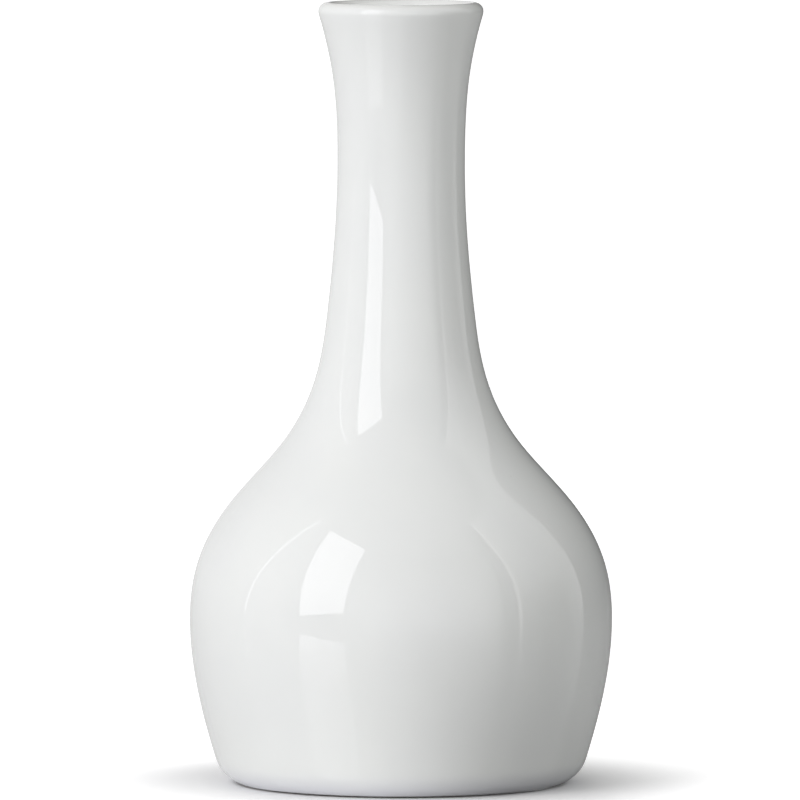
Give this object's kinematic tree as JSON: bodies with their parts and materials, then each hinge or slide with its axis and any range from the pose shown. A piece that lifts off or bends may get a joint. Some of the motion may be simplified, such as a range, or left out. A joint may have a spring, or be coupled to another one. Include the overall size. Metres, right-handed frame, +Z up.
{
  "type": "ceramic bud vase",
  "caption": "White glazed porcelain bud vase: round belly, long waisted neck, flared mouth and bare standing ring; holds water and a single stem.",
  "frame": {"origin": "on the vase's axis, in the plane of the standing ring, at the surface that the vase stands on", "axes": "+Z up along the axis of the neck and belly, out of the mouth; the vase is round, so +X and +Y are free, with -Y taken as the front"},
  "size_m": [0.0812, 0.0812, 0.15],
  "materials": {
    "bare_porcelain": "unglazed, finely ground, matt",
    "white_glaze": "clear gloss glaze on white porcelain",
    "white_glaze_inside": "clear gloss glaze on white porcelain",
    "white_glaze_base": "clear gloss glaze on white porcelain"
  },
  "bodies": {
    "root": {"clay_body": "bare_porcelain", "outer_glaze": "white_glaze", "inner_glaze": "white_glaze_inside", "base_glaze": "white_glaze_base"}
  },
  "joints": []
}
